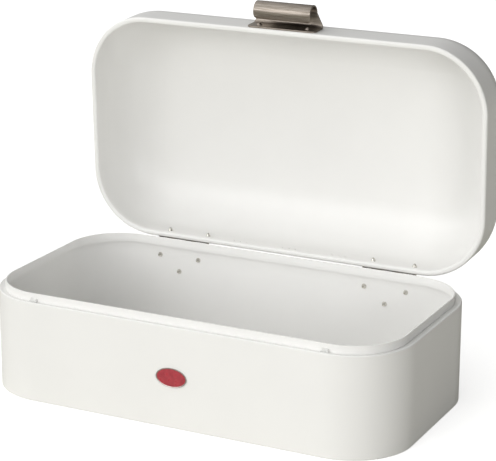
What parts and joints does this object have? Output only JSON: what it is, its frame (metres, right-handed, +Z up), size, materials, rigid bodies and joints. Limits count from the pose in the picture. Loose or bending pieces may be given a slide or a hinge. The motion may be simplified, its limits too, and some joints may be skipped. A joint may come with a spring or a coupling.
{
  "type": "bread box",
  "caption": "Low oblong metal bread box with rounded corners, a deep hinged lid that stands open, a curled metal handle, an oval badge and a stepped rim that the lid closes over",
  "frame": {"origin": "centre of the base's footprint on the surface that it stands on, which is the underside of the wall's turned-in foot and of the rubber feet", "axes": "+X to the right seen from the front, +Y to the back where the hinges are, +Z up"},
  "size_m": [0.42, 0.2988, 0.3504],
  "materials": {
    "white_coat": "smooth powder coat, satin",
    "foot_rubber": "matte rubber",
    "pad_clear": "milky soft plastic",
    "badge_metal": "polished",
    "badge_red": "gloss enamel",
    "hinge_steel": "plated steel, slightly dull",
    "rivet_metal": "satin",
    "handle_nickel": "brushed nickel, grain along the handle"
  },
  "bodies": {
    "base": {"base_wall": "white_coat", "base_floor": "white_coat", "foot_front_left": "foot_rubber", "foot_front_right": "foot_rubber", "foot_back_left": "foot_rubber", "foot_back_right": "foot_rubber", "closing_pad_left": "pad_clear", "closing_pad_right": "pad_clear", "badge_plate": "badge_metal", "badge_enamel": "badge_red", "hinge_left_base_leaf": "hinge_steel", "hinge_left_base_rivets": "rivet_metal", "hinge_left_pin": "hinge_steel", "hinge_right_base_leaf": "hinge_steel", "hinge_right_base_rivets": "rivet_metal", "hinge_right_pin": "hinge_steel"},
    "lid": {"lid_shell": "white_coat", "handle": "handle_nickel", "handle_rivets": "handle_nickel", "hinge_left_lid_leaf": "hinge_steel", "hinge_left_lid_rivets": "rivet_metal", "hinge_right_lid_leaf": "hinge_steel", "hinge_right_lid_rivets": "rivet_metal"}
  },
  "joints": [
    {"name": "lid_hinge", "type": "hinge", "parent": "base", "child": "lid", "pos_m": [0, 0.1154, 0.0974], "axis": [1, 0, 0], "range_deg": [0, 87.5]}
  ]
}
